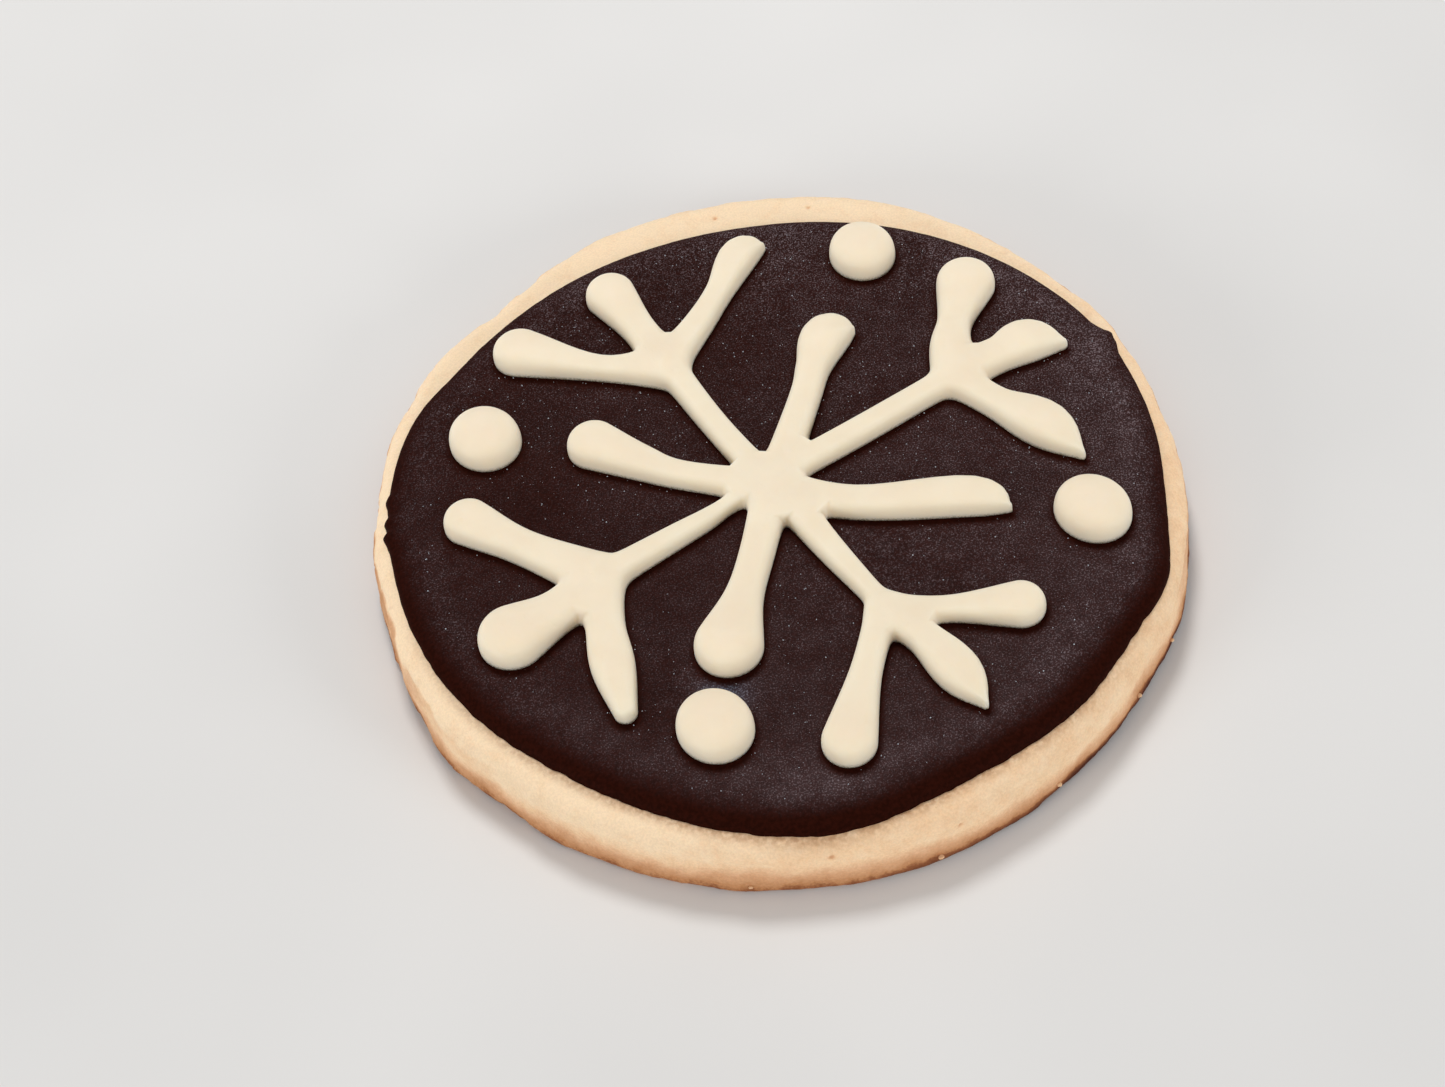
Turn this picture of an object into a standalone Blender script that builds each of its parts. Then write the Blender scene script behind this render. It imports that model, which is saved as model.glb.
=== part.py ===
"""A decorated sugar cookie: a round biscuit, a dark icing layer, and a piped white snowflake with four dots.

The drawing is in millimetres, with +Z up. X runs to the right and Y away from the side that the snowflake's
bottom dot is on. The biscuit stands on z = 0, and MM turns each point into Blender's metres.
"""

from collections import namedtuple

import bpy
import numpy as np
from mathutils import geometry

MM = 0.001

# Biscuit: a rolled and cut disc, spread a little in baking.
BISCUIT_RADIUS = 42.2
BISCUIT_THICKNESS = 7.0
BASE_ROUNDING = 0.7
WALL_LEAN = 0.5
SHOULDER_ROUNDING = 2.4

# How far the cut edge lies outside (+) or inside (-) a true circle, as (angle in degrees, distance).
CUT_EDGE = (
    (0, -0.2), (8, -0.5), (15, -0.25), (22, 0.1), (38, 0.05), (52, 0.6), (60, 1.1), (75, 1.4),
    (90, 1.1), (105, 1.0), (115, 0.8), (123, 0.3), (130, -0.4), (135, -0.65), (139, -0.2), (144, 0.45),
    (157, 0.3), (165, 0.35), (173, -0.1), (187, -0.2), (195, -0.5), (204, -0.1), (212, 0.15), (217, 0.5),
    (225, 0.1), (235, 0.3), (255, 0.6), (270, 0.75), (292, 0.65), (300, 0.35), (315, 0.1), (323, -0.1),
    (330, 0.25), (345, 0.05),
)  # fmt: skip

# Ledges of the torn dough along the cut edge: waves round it, as (count, drift with height, phase, share).
CRAG_DEPTH = 0.14
CRAG_WAVES = ((17, 0.9, 0.0, 0.42), (29, -1.3, 2.0, 0.33), (47, 2.1, 0.7, 0.25))

# How finely the biscuit is faceted: its sides, and the rings up each part of its outline.
BISCUIT_SIDES = 150
UNDER_RINGS = (0.5, 0.95)
BASE_TURNS = (0, 45, 90)
WALL_SHARES = (0.35, 0.7, 1.0)
SHOULDER_TURNS = (25, 50, 72, 90)
TOP_RINGS = (0.7, 0.3)

# Dark icing: one flooded layer whose edge rolls down to the biscuit.
SEAT_GAP = 0.3
DARK_THICKNESS = 1.3
DARK_ROLL_WIDTH = 3.6
DARK_ROLL_POWER = 2.4
DARK_WEB_RADIUS = 0.12

# The flooded edge, as (angle in degrees, distance from the biscuit's centre).
DARK_EDGE = (
    (0, 39.1), (12, 39.1), (20, 39.2), (40, 38.5), (60, 37.8), (75, 37.2), (90, 36.6), (105, 36.4),
    (120, 36.9), (142, 37.6), (150, 38.1), (158, 39.2), (172, 39.7), (188, 39.4), (205, 39.4),
    (222, 39.0), (233, 38.7), (247, 39.3), (262, 40.5), (270, 40.9), (278, 40.7), (290, 39.8),
    (310, 39.9), (325, 39.9), (336, 40.4), (343, 39.7), (352, 39.1),
)  # fmt: skip

# Where the flooding was pulled into small points: lines of (x, y, half-width).
DARK_POINT_FULL_WIDTH = 0.9
DARK_POINTS = (
    ((36.0, 14.3, 0.9), (37.2, 14.7, 0.25)),
    ((36.6, 12.4, 0.9), (37.6, 12.3, 0.3)),
    ((-38.6, 1.4, 0.8), (-40.2, 1.8, 0.2)),
    ((-38.6, -0.7, 0.6), (-40.2, -0.8, 0.15)),
    ((-38.4, -2.8, 0.9), (-40.3, -2.6, 0.15)),
)

# White icing: piped lines, flat-topped with steep rounded sides.
WHITE_POWER = 3.0
WHITE_HEIGHT_AT_NECK = 1.45
NECK_HALF_WIDTH = 1.4
WHITE_HEIGHT_PER_WIDTH = 0.45
WEB_RADIUS = 0.28

# Each piped line, as points (x, y, half-width) along its middle.
SNOWFLAKE_LINES = {
    "far_short_arm": (
        (0.0, -2.2, 1.9), (4.1, 9.0, 1.55), (5.55, 13.3, 1.85), (7.4, 17.4, 2.55), (10.2, 17.8, 0.3),
    ),
    "left_short_arm": ((0.0, -2.2, 1.8), (-9.0, 0.6, 1.6), (-13.2, 2.9, 1.95), (-17.9, 5.85, 2.8)),
    "near_short_arm": ((0.0, -2.2, 2.0), (-2.4, -10.2, 1.7), (-4.0, -15.4, 1.95), (-5.8, -20.65, 3.25)),
    "right_short_arm": ((0.0, -2.2, 1.8), (8.0, -5.25, 1.8), (19.5, -6.2, 2.25), (23.0, -8.0, 0.25)),
    "far_left_stem": ((0.0, -2.2, 1.5), (-5.1, 6.6, 1.4), (-9.6, 15.6, 1.6)),
    "far_left_outer": ((-10.3, 15.5, 2.45), (-17.0, 16.65, 1.6), (-25.5, 19.9, 2.9)),
    "far_left_middle": ((-10.0, 16.3, 2.1), (-12.6, 21.6, 1.85), (-15.4, 26.9, 2.75)),
    "far_left_inner": (
        (-9.5, 16.2, 2.0), (-6.1, 21.2, 1.6), (-3.6, 25.6, 1.5), (-0.9, 30.9, 2.1), (1.7, 31.7, 0.3),
    ),
    "far_right_stem": ((0.0, -1.2, 1.4), (4.8, 1.4, 1.5), (10.0, 4.2, 1.5), (19.5, 9.5, 1.45)),
    "far_right_inner": ((19.8, 9.9, 2.15), (20.1, 13.8, 2.2), (21.1, 17.6, 1.8), (22.95, 22.7, 3.1)),
    "far_right_middle": ((20.8, 10.4, 2.2), (25.0, 12.1, 2.05), (28.2, 13.5, 2.5), (31.9, 12.6, 0.3)),
    "far_right_outer": ((20.2, 9.2, 1.85), (23.9, 5.4, 1.75), (28.1, 1.9, 2.6), (31.2, -2.4, 0.25)),
    "near_right_stem": ((1.0, -3.0, 1.8), (4.75, -10.2, 1.45), (9.3, -17.9, 1.15)),
    "near_right_outer": ((9.9, -18.8, 1.65), (15.6, -19.2, 1.3), (22.2, -19.6, 2.4)),
    "near_right_middle": ((9.7, -18.9, 1.8), (12.65, -22.2, 1.7), (15.35, -26.4, 2.2), (17.3, -30.2, 0.3)),
    "near_right_inner": ((8.7, -18.8, 1.75), (6.6, -25.5, 1.45), (4.45, -32.55, 2.6)),
    "near_left_stem": (
        (-1.0, -1.4, 1.2), (-4.6, -3.8, 0.95), (-7.0, -5.4, 1.15), (-10.0, -7.05, 1.35), (-17.5, -11.2, 1.65),
    ),
    "near_left_outer": ((-18.5, -10.7, 2.5), (-25.4, -6.3, 1.85), (-30.9, -2.4, 2.55)),
    "near_left_middle": ((-18.5, -12.1, 2.3), (-22.6, -14.8, 2.3), (-26.55, -17.15, 3.35)),
    "near_left_inner": (
        (-17.8, -11.7, 2.2), (-17.6, -17.0, 1.9), (-17.1, -21.5, 2.1), (-15.85, -26.8, 1.25),
    ),
}  # fmt: skip

# Piped dots: centre x, y, radius, stretch along its longer way, and which way that is in degrees.
DOTS = {
    "dot_far": (12.45, 29.1, 3.55, 1.09, 100),
    "dot_left": (-29.25, 8.2, 3.7, 1.09, 122),
    "dot_near": (-7.75, -29.6, 3.6, 1.06, 120),
    "dot_right": (30.85, -9.4, 3.65, 1.08, 125),
}

# How finely the icing is faceted: the longest step and sharpest turn (degrees) along an edge, the turns of
# the rounded side, how far inside the edge the rings across the top lie, and the pitch of the points between.
Grain = namedtuple("Grain", "longest sharpest side_turns levels pitch")
DARK_GRAIN = Grain(longest=2.0, sharpest=20, side_turns=(22,), levels=(0.7, 1.6, 3.0), pitch=6.0)
SNOWFLAKE_GRAIN = Grain(longest=1.25, sharpest=14, side_turns=(18, 42), levels=(), pitch=1.7)
DOT_GRAIN = Grain(longest=0.8, sharpest=14, side_turns=(18, 36, 56), levels=(), pitch=1.3)
UNDERSIDE_COARSER = 3
TRACE_CELL = 0.5
CURVE_STEPS = 6

# An icing form: its outline's field, where its underside lies, its own height, and how square its sides are.
Form = namedtuple("Form", "field floor height power")


def rounded_row(stations, value_count, closed):
    """Cubic curve through the stations, which are (place, value...) rows, as a function of place."""
    rows = np.array(stations, float)
    place = rows[:, 0]
    value = rows[:, 1 : 1 + value_count]
    if closed:
        place = np.concatenate([[place[-1] - 360], place, [place[0] + 360, place[1] + 360]])
        value = np.concatenate([value[-1:], value, value[:2]])
    slope = np.gradient(value, place, axis=0)

    def read(where):
        where = np.asarray(where, float)
        if closed:
            where = where % 360
        index = np.clip(np.searchsorted(place, where, side="right") - 1, 0, len(place) - 2)
        span = place[index + 1] - place[index]
        t = ((where - place[index]) / span)[..., None]
        start = (1 + 2 * t) * (1 - t) ** 2 * value[index]
        end = t**2 * (3 - 2 * t) * value[index + 1]
        bend_out = t * (1 - t) ** 2 * span[..., None] * slope[index]
        bend_in = t**2 * (t - 1) * span[..., None] * slope[index + 1]
        return start + end + bend_out + bend_in

    return read


def angle_of(points):
    return np.degrees(np.arctan2(points[:, 1], points[:, 0]))


# ---------------------------------------------------------------- biscuit


def cut_radius(angle):
    return BISCUIT_RADIUS + rounded_row(CUT_EDGE, 1, closed=True)(angle)[..., 0]


def biscuit_profile():
    """(inset from the cut edge, height, share of the crags) of each ring, from under the base to the top."""
    rings = [(BISCUIT_RADIUS * (1 - share), 0.0, 0.0) for share in UNDER_RINGS]
    for turn in np.radians(BASE_TURNS):
        inset = BASE_ROUNDING * (1 - np.sin(turn))
        rings.append((inset, BASE_ROUNDING * (1 - np.cos(turn)), np.sin(turn)))
    wall_top = BISCUIT_THICKNESS - SHOULDER_ROUNDING
    for share in WALL_SHARES:
        height = BASE_ROUNDING + share * (wall_top - BASE_ROUNDING)
        rings.append((share * WALL_LEAN, height, 1.0))
    for turn in np.radians(SHOULDER_TURNS):
        inset = WALL_LEAN + SHOULDER_ROUNDING * (1 - np.cos(turn))
        rings.append((inset, wall_top + SHOULDER_ROUNDING * np.sin(turn), np.cos(turn)))
    rings.extend((BISCUIT_RADIUS * (1 - share), BISCUIT_THICKNESS, 0.0) for share in TOP_RINGS)
    return rings


def biscuit_top(points):
    """Height of the biscuit's upper face, which falls off over its rounded shoulder."""
    inset = cut_radius(angle_of(points)) - np.hypot(*points.T)
    over = np.clip((WALL_LEAN + SHOULDER_ROUNDING - inset) / SHOULDER_ROUNDING, 0, 1)
    return BISCUIT_THICKNESS - SHOULDER_ROUNDING * (1 - np.sqrt(1 - over**2))


def crags(angle, height):
    turn = np.radians(angle)
    depth = np.zeros_like(turn)
    for count, drift, phase, share in CRAG_WAVES:
        depth += CRAG_DEPTH * share * np.sin(count * turn + drift * height + phase)
    return depth


def biscuit_mesh():
    angle = np.arange(BISCUIT_SIDES) * 360 / BISCUIT_SIDES
    edge = cut_radius(angle)
    across = np.stack([np.cos(np.radians(angle)), np.sin(np.radians(angle))], axis=1)
    points = [(0.0, 0.0, 0.0)]
    faces = []
    rings = biscuit_profile()
    for inset, height, crag_share in rings:
        radius = (edge - inset) + crag_share * crags(angle, height)
        level = np.full(BISCUIT_SIDES, height)
        points.extend(np.column_stack([across * radius[:, None], level]))
    points.append((0.0, 0.0, BISCUIT_THICKNESS))
    for side in range(BISCUIT_SIDES):
        after = (side + 1) % BISCUIT_SIDES
        faces.append((0, 1 + after, 1 + side))
        for ring in range(len(rings) - 1):
            low = 1 + ring * BISCUIT_SIDES
            high = low + BISCUIT_SIDES
            faces.append((low + side, low + after, high + after, high + side))
        last = 1 + (len(rings) - 1) * BISCUIT_SIDES
        faces.append((last + side, last + after, len(points) - 1))
    return np.array(points), faces


# ---------------------------------------------------------------- icing outlines


def line_field(points, line):
    """(distance inside the line's edge, half-width there) of each point, for one piped line."""
    stations = [(place, *row) for place, row in enumerate(line)]
    read = rounded_row(stations, 3, closed=False)
    rows = read(np.linspace(0, len(line) - 1, (len(line) - 1) * CURVE_STEPS + 1))
    inside = np.full(len(points), -np.inf)
    width = np.zeros(len(points))
    for start, end in zip(rows[:-1], rows[1:]):
        run = end[:2] - start[:2]
        share = np.clip((points - start[:2]) @ run / (run @ run), 0, 1)
        half = start[2] + share * (end[2] - start[2])
        gap = np.hypot(*(points - start[:2] - share[:, None] * run).T)
        better = half - gap > inside
        inside = np.where(better, half - gap, inside)
        width = np.where(better, half, width)
    return inside, width


def blend(parts, web):
    """Joins fields so that icing runs together into a small web where two lines meet."""
    inside = np.array([part[0] for part in parts])
    width = np.array([part[1] for part in parts])
    top = inside.max(axis=0)
    share = np.exp((inside - top) / web)
    return top + web * np.log(share.sum(axis=0)), (share * width).sum(axis=0) / share.sum(axis=0)


def snowflake_field(points):
    return blend([line_field(points, line) for line in SNOWFLAKE_LINES.values()], WEB_RADIUS)


def dot_field(points, name):
    x, y, radius, stretch, way = DOTS[name]
    long_way = np.array([np.cos(np.radians(way)), np.sin(np.radians(way))])
    along = (points - (x, y)) @ long_way
    across = (points - (x, y)) @ (-long_way[1], long_way[0])
    return radius - np.hypot(along / stretch, across), np.full(len(points), radius)


def dark_field(points):
    edge = rounded_row(DARK_EDGE, 1, closed=True)(angle_of(points))[:, 0]
    parts = [(edge - np.hypot(*points.T), np.full(len(points), DARK_ROLL_WIDTH))]
    parts.extend(line_field(points, line) for line in DARK_POINTS)
    return blend(parts, DARK_WEB_RADIUS)


def dome(inside, width, power):
    """Height share of a rounded form: 0 at its edge and 1 from its middle on."""
    share = np.clip(inside / width, 0, 1)
    return (1 - (1 - share) ** power) ** (1 / power)


def dark_height(width):
    """Full thickness over the flooded area, and less in the small points at its edge."""
    return (DARK_THICKNESS - SEAT_GAP) * np.clip(width / DARK_POINT_FULL_WIDTH, 0.3, 1)


def white_height(width):
    return WHITE_HEIGHT_AT_NECK + WHITE_HEIGHT_PER_WIDTH * (width - NECK_HALF_WIDTH)


def dark_floor(points):
    return biscuit_top(points) + SEAT_GAP


def dark_top(points):
    inside, width = dark_field(points)
    return dark_floor(points) + dark_height(width) * dome(inside, width, DARK_ROLL_POWER)


def white_floor(points):
    return dark_top(points) + SEAT_GAP


# ---------------------------------------------------------------- meshing


def trace(field, low, high, cell):
    """Walks round the field's zero level by marching squares, and gives its longest closed loop."""
    xs = np.arange(low[0], high[0] + cell, cell)
    ys = np.arange(low[1], high[1] + cell, cell)
    grid = np.stack(np.meshgrid(xs, ys, indexing="ij"), axis=-1)
    inside = field(grid.reshape(-1, 2))[0].reshape(grid.shape[:2])
    onward = {}
    place = {}
    for i, j in np.argwhere(cells_cut(inside)):
        corners = ((i, j), (i + 1, j), (i + 1, j + 1), (i, j + 1))
        for leaving, entering in crossings(inside, corners):
            onward[leaving] = entering
            for edge in (leaving, entering):
                first, second = edge
                share = inside[first] / (inside[first] - inside[second])
                place[edge] = grid[first] + share * (grid[second] - grid[first])
    loops = []
    while onward:
        edge, after = onward.popitem()
        loop = [edge]
        while after != loop[0]:
            loop.append(after)
            after = onward.pop(after)
        loops.append([place[edge] for edge in loop])
    return np.array(max(loops, key=len))


def cells_cut(inside):
    positive = inside > 0
    count = positive[:-1, :-1].astype(int) + positive[1:, :-1] + positive[1:, 1:] + positive[:-1, 1:]
    return (count > 0) & (count < 4)


def crossings(inside, corners):
    """Pieces of the zero level in one cell, as pairs of crossed cell edges, with the icing on the left."""
    signs = [inside[corner] > 0 for corner in corners]
    ups = []
    downs = []
    for side in range(4):
        first = corners[side]
        second = corners[(side + 1) % 4]
        if signs[side] != signs[(side + 1) % 4]:
            edge = tuple(sorted((first, second)))
            (downs if signs[side] else ups).append((side, edge))
    pairs = []
    for side, edge in downs:
        nearest = min(ups, key=lambda up: (up[0] - side) % 4)
        pairs.append((edge, nearest[1]))
    return pairs


def settle(points, field, target):
    """Moves each point along the field's slope until it lies at the target distance inside the edge."""
    nudge = 1e-3
    for _ in range(4):
        value = field(points)[0]
        along_x = (field(points + (nudge, 0))[0] - value) / nudge
        along_y = (field(points + (0, nudge))[0] - value) / nudge
        slope = np.stack([along_x, along_y], axis=1)
        steep = np.maximum((slope**2).sum(axis=1), 0.2)
        points = points + ((target - value) / steep)[:, None] * slope
    return points


def thin_out(loop, longest, sharpest):
    """Keeps the loop's points where it turns, and one at least every `longest` along it."""
    run = np.roll(loop, -1, axis=0) - loop
    heading = np.arctan2(run[:, 1], run[:, 0])
    turn = np.abs((heading - np.roll(heading, 1) + np.pi) % (2 * np.pi) - np.pi)
    kept = []
    length = longest
    turned = 0.0
    for index, point in enumerate(loop):
        turned += turn[index]
        if length >= longest or (turned >= sharpest and length >= longest * 0.3):
            kept.append(point)
            length = 0.0
            turned = 0.0
        length += np.hypot(*run[index])
    return np.array(kept)


def lattice(field, low, high, pitch, clear):
    """Points of a triangular lattice that lie at least `clear` inside the edge."""
    rows = np.arange(low[1], high[1], pitch * np.sqrt(3) / 2)
    found = []
    for number, y in enumerate(rows):
        xs = np.arange(low[0] + (number % 2) * pitch / 2, high[0], pitch)
        found.append(np.column_stack([xs, np.full(len(xs), y)]))
    points = np.concatenate(found)
    return points[field(points)[0] > clear]


def cap(outline, inner):
    """(points, faces, place of each outline point) of triangles across an outline and the points inside it."""
    points = [tuple(point) for point in outline] + [tuple(point) for point in inner]
    count = len(outline)
    edges = [(index, (index + 1) % count) for index in range(count)]
    found, _, faces, origins, _, _ = geometry.delaunay_2d_cdt(points, edges, [], 1, 1e-7)
    place = {origin: index for index, group in enumerate(origins) for origin in group}
    return np.array([tuple(point) for point in found]), faces, [place[index] for index in range(count)]


def apart(points, pitch):
    """One point at most from each square of side `pitch`."""
    _, first = np.unique(np.round(points / pitch), axis=0, return_index=True)
    return points[np.sort(first)]


def linked(cap_faces, ring_place, ring_start, extra, extra_start):
    """The cap's faces with their corners numbered as points of the whole body."""
    link = {place: ring_start + index for index, place in enumerate(ring_place)}
    link.update({place: extra_start + index for index, place in enumerate(extra)})
    return [tuple(link[corner] for corner in face) for face in cap_faces]


def icing_mesh(form, grain, low, high):
    """Closed body: an underside, rings up its rounded side, and a cap of triangles over the top."""
    field = form.field
    loop = settle(trace(field, low, high, TRACE_CELL), field, 0.0)
    loop = settle(thin_out(loop, grain.longest, np.radians(grain.sharpest)), field, 0.0)
    width = field(loop)[1]

    def top(points):
        inside, half = field(points)
        return form.floor(points) + form.height(half) * dome(inside, half, form.power)

    rings = [loop]
    for turn in np.radians(grain.side_turns):
        inset = width * (1 - np.cos(turn) ** (2 / form.power))
        rings.append(settle(rings[-1], field, inset))
    count = len(loop)
    points = [np.column_stack([loop, form.floor(loop)])]
    points.extend(np.column_stack([ring, top(ring)]) for ring in rings[1:])
    faces = []
    for ring in range(len(rings) - 1):
        for side in range(count):
            start = ring * count
            after = start + (side + 1) % count
            faces.append((start + side, after, after + count, start + side + count))

    levels = []
    for level in grain.levels:
        ring = apart(settle(loop, field, level), grain.longest * 0.6)
        levels.append(ring[field(ring)[0] > (inset.max() + level) / 2])
    total = len(rings) * count
    wide = lattice(field, low, high, grain.pitch * UNDERSIDE_COARSER, grain.pitch)
    under, under_faces, place = cap(loop, np.concatenate([*levels[1:2], wide]))
    extra = [index for index in range(len(under)) if index not in set(place)]
    points.append(np.column_stack([under[extra], form.floor(under[extra])]))
    faces.extend(face[::-1] for face in linked(under_faces, place, 0, extra, total))
    total += len(extra)

    clear = max([inset.max(), *grain.levels]) + grain.pitch * 0.4
    levels.append(lattice(field, low, high, grain.pitch, clear))
    over, over_faces, place = cap(rings[-1], np.concatenate(levels))
    extra = [index for index in range(len(over)) if index not in set(place)]
    points.append(np.column_stack([over[extra], top(over[extra])]))
    faces.extend(linked(over_faces, place, (len(rings) - 1) * count, extra, total))
    return np.concatenate(points), faces


# ---------------------------------------------------------------- objects


def material(name, colour, roughness):
    made = bpy.data.materials.new(name)
    made.use_nodes = True
    shader = made.node_tree.nodes["Principled BSDF"]
    shader.inputs["Base Color"].default_value = (*colour, 1.0)
    shader.inputs["Roughness"].default_value = roughness
    shader.inputs["Metallic"].default_value = 0.0
    return made


def add_object(name, points, faces, finish, middle):
    mesh = bpy.data.meshes.new(name)
    mesh.from_pydata([tuple(point) for point in (points - middle) * MM], [], faces)
    mesh.validate()
    mesh.shade_smooth()
    mesh.set_sharp_from_angle(angle=np.radians(50))
    made = bpy.data.objects.new(name, mesh)
    made.data.materials.append(finish)
    bpy.context.scene.collection.objects.link(made)
    return made


def add_biscuit():
    points, faces = biscuit_mesh()
    middle = (points.min(axis=0) + points.max(axis=0)) / 2
    middle[2] = 0.0
    add_object("biscuit", points, faces, material("baked_dough", (0.78, 0.58, 0.36), 0.85), middle)
    return middle


def add_dark_icing(middle):
    form = Form(dark_field, dark_floor, dark_height, DARK_ROLL_POWER)
    reach = BISCUIT_RADIUS + 1
    points, faces = icing_mesh(form, DARK_GRAIN, low=(-reach, -reach), high=(reach, reach))
    add_object("dark_icing", points, faces, material("dark_sugar", (0.030, 0.018, 0.016), 0.5), middle)


def add_snowflake(middle, finish):
    form = Form(snowflake_field, white_floor, white_height, WHITE_POWER)
    stations = np.concatenate([np.array(line) for line in SNOWFLAKE_LINES.values()])
    low = stations[:, :2].min(axis=0) - stations[:, 2].max() - 1
    high = stations[:, :2].max(axis=0) + stations[:, 2].max() + 1
    points, faces = icing_mesh(form, SNOWFLAKE_GRAIN, low, high)
    add_object("snowflake", points, faces, finish, middle)


def add_dot(name, middle, finish):
    x, y, radius, stretch, _ = DOTS[name]
    reach = radius * stretch + 1
    form = Form(lambda points: dot_field(points, name), white_floor, white_height, WHITE_POWER)
    points, faces = icing_mesh(form, DOT_GRAIN, low=(x - reach, y - reach), high=(x + reach, y + reach))
    add_object(name, points, faces, finish, middle)


def main():
    for leftover in list(bpy.data.objects):
        bpy.data.objects.remove(leftover)
    middle = add_biscuit()
    add_dark_icing(middle)
    white = material("white_sugar", (0.87, 0.76, 0.57), 0.55)
    add_snowflake(middle, white)
    for name in DOTS:
        add_dot(name, middle, white)


main()
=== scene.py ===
"""Looks of the decorated sugar cookie: browned crumb, dark icing with sugar grain, piped white icing.

The pieces are drawn in millimetres, as the solids are, and MM turns each point into Blender's metres. X
runs to the right, Y away from the viewer, and the cookie stands on z = 0.
"""

from collections import namedtuple

import bpy
import numpy as np
from mathutils import Matrix, geometry


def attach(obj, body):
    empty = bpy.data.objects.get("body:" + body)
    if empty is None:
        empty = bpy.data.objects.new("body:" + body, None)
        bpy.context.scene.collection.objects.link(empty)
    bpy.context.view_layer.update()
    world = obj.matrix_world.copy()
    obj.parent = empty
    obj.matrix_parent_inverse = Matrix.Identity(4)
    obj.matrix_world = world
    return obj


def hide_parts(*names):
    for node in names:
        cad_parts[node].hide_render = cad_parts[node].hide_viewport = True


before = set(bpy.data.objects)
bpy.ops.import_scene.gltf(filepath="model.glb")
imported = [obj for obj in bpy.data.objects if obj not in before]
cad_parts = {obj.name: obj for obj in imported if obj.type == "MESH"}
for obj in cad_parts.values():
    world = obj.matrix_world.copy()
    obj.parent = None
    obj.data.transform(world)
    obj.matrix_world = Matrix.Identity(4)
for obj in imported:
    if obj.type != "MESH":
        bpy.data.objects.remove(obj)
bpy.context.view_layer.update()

MM = 0.001

# -------- main shapes, near those of the solids

# fmt: off
BISCUIT_RADIUS = 42.2
BISCUIT_THICKNESS = 7.0
BASE_ROUNDING = 0.7
WALL_LEAN = 0.5
SHOULDER_ROUNDING = 2.4

# How far the cut edge lies outside (+) or inside (-) a true circle, as (angle in degrees, distance).
CUT_EDGE = (
    (0, -0.2), (8, -0.5), (15, -0.25), (22, 0.1), (38, 0.05), (52, 0.6), (60, 1.1), (75, 1.4),
    (90, 1.1), (105, 1), (115, 0.8), (123, 0.3), (130, -0.4), (135, -0.65), (139, -0.2), (144, 0.45),
    (157, 0.3), (165, 0.35), (173, -0.1), (187, -0.2), (195, -0.5), (204, -0.1), (212, 0.15), (217, 0.5),
    (225, 0.1), (235, 0.3), (255, 0.6), (270, 0.75), (292, 0.65), (300, 0.35), (315, 0.1), (323, -0.1),
    (330, 0.25), (345, 0.05),
)

# Waves of the torn dough along the cut edge, as (count, drift with height, phase, share).
CRAG_DEPTH = 0.14
CRAG_WAVES = ((17, 0.9, 0, 0.42), (29, -1.3, 2, 0.33), (47, 2.1, 0.7, 0.25))

# The solid biscuit's outline has this many corners, at these shares of the wall's height.
SOLID_SIDES = 150
SOLID_WALL_SHARES = (0, 0.35, 0.7, 1)

# Dark icing: how thick it is, how wide its rolled edge is, and how full the roll is (2 is an ellipse).
DARK_THICKNESS = 1.3
DARK_ROLL_WIDTH = 3.6
DARK_ROLL_POWER = 2.4

# The flooded edge, as (angle in degrees, distance from the biscuit's centre).
DARK_EDGE = (
    (0, 39.25), (12, 39.3), (20, 39.3), (40, 38.7), (60, 37.95), (75, 37.3), (90, 36.7), (105, 36.65),
    (120, 37), (142, 37.7), (150, 38.2), (158, 39.3), (172, 39.75), (188, 39.4), (205, 39.3),
    (222, 39.1), (233, 38.85), (247, 39.35), (262, 40.45), (270, 40.9), (278, 40.7), (290, 39.85),
    (310, 40.05), (325, 39.9), (336, 40.6), (343, 39.75), (352, 39.2),
)

# White icing: a wide line stands higher than its neck does, and lines that meet run together a little.
# SOLID_GAP is the space under its solids. A half-width changes by STEEPEST_TAPER of the length at most.
SOLID_GAP = 0.3
WHITE_HEIGHT_AT_NECK = 1.45
NECK_HALF_WIDTH = 1.4
WHITE_HEIGHT_PER_WIDTH = 0.45
WEB_RADIUS = 0.42
STEEPEST_TAPER = 0.45
CURVE_STEPS = 6

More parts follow.
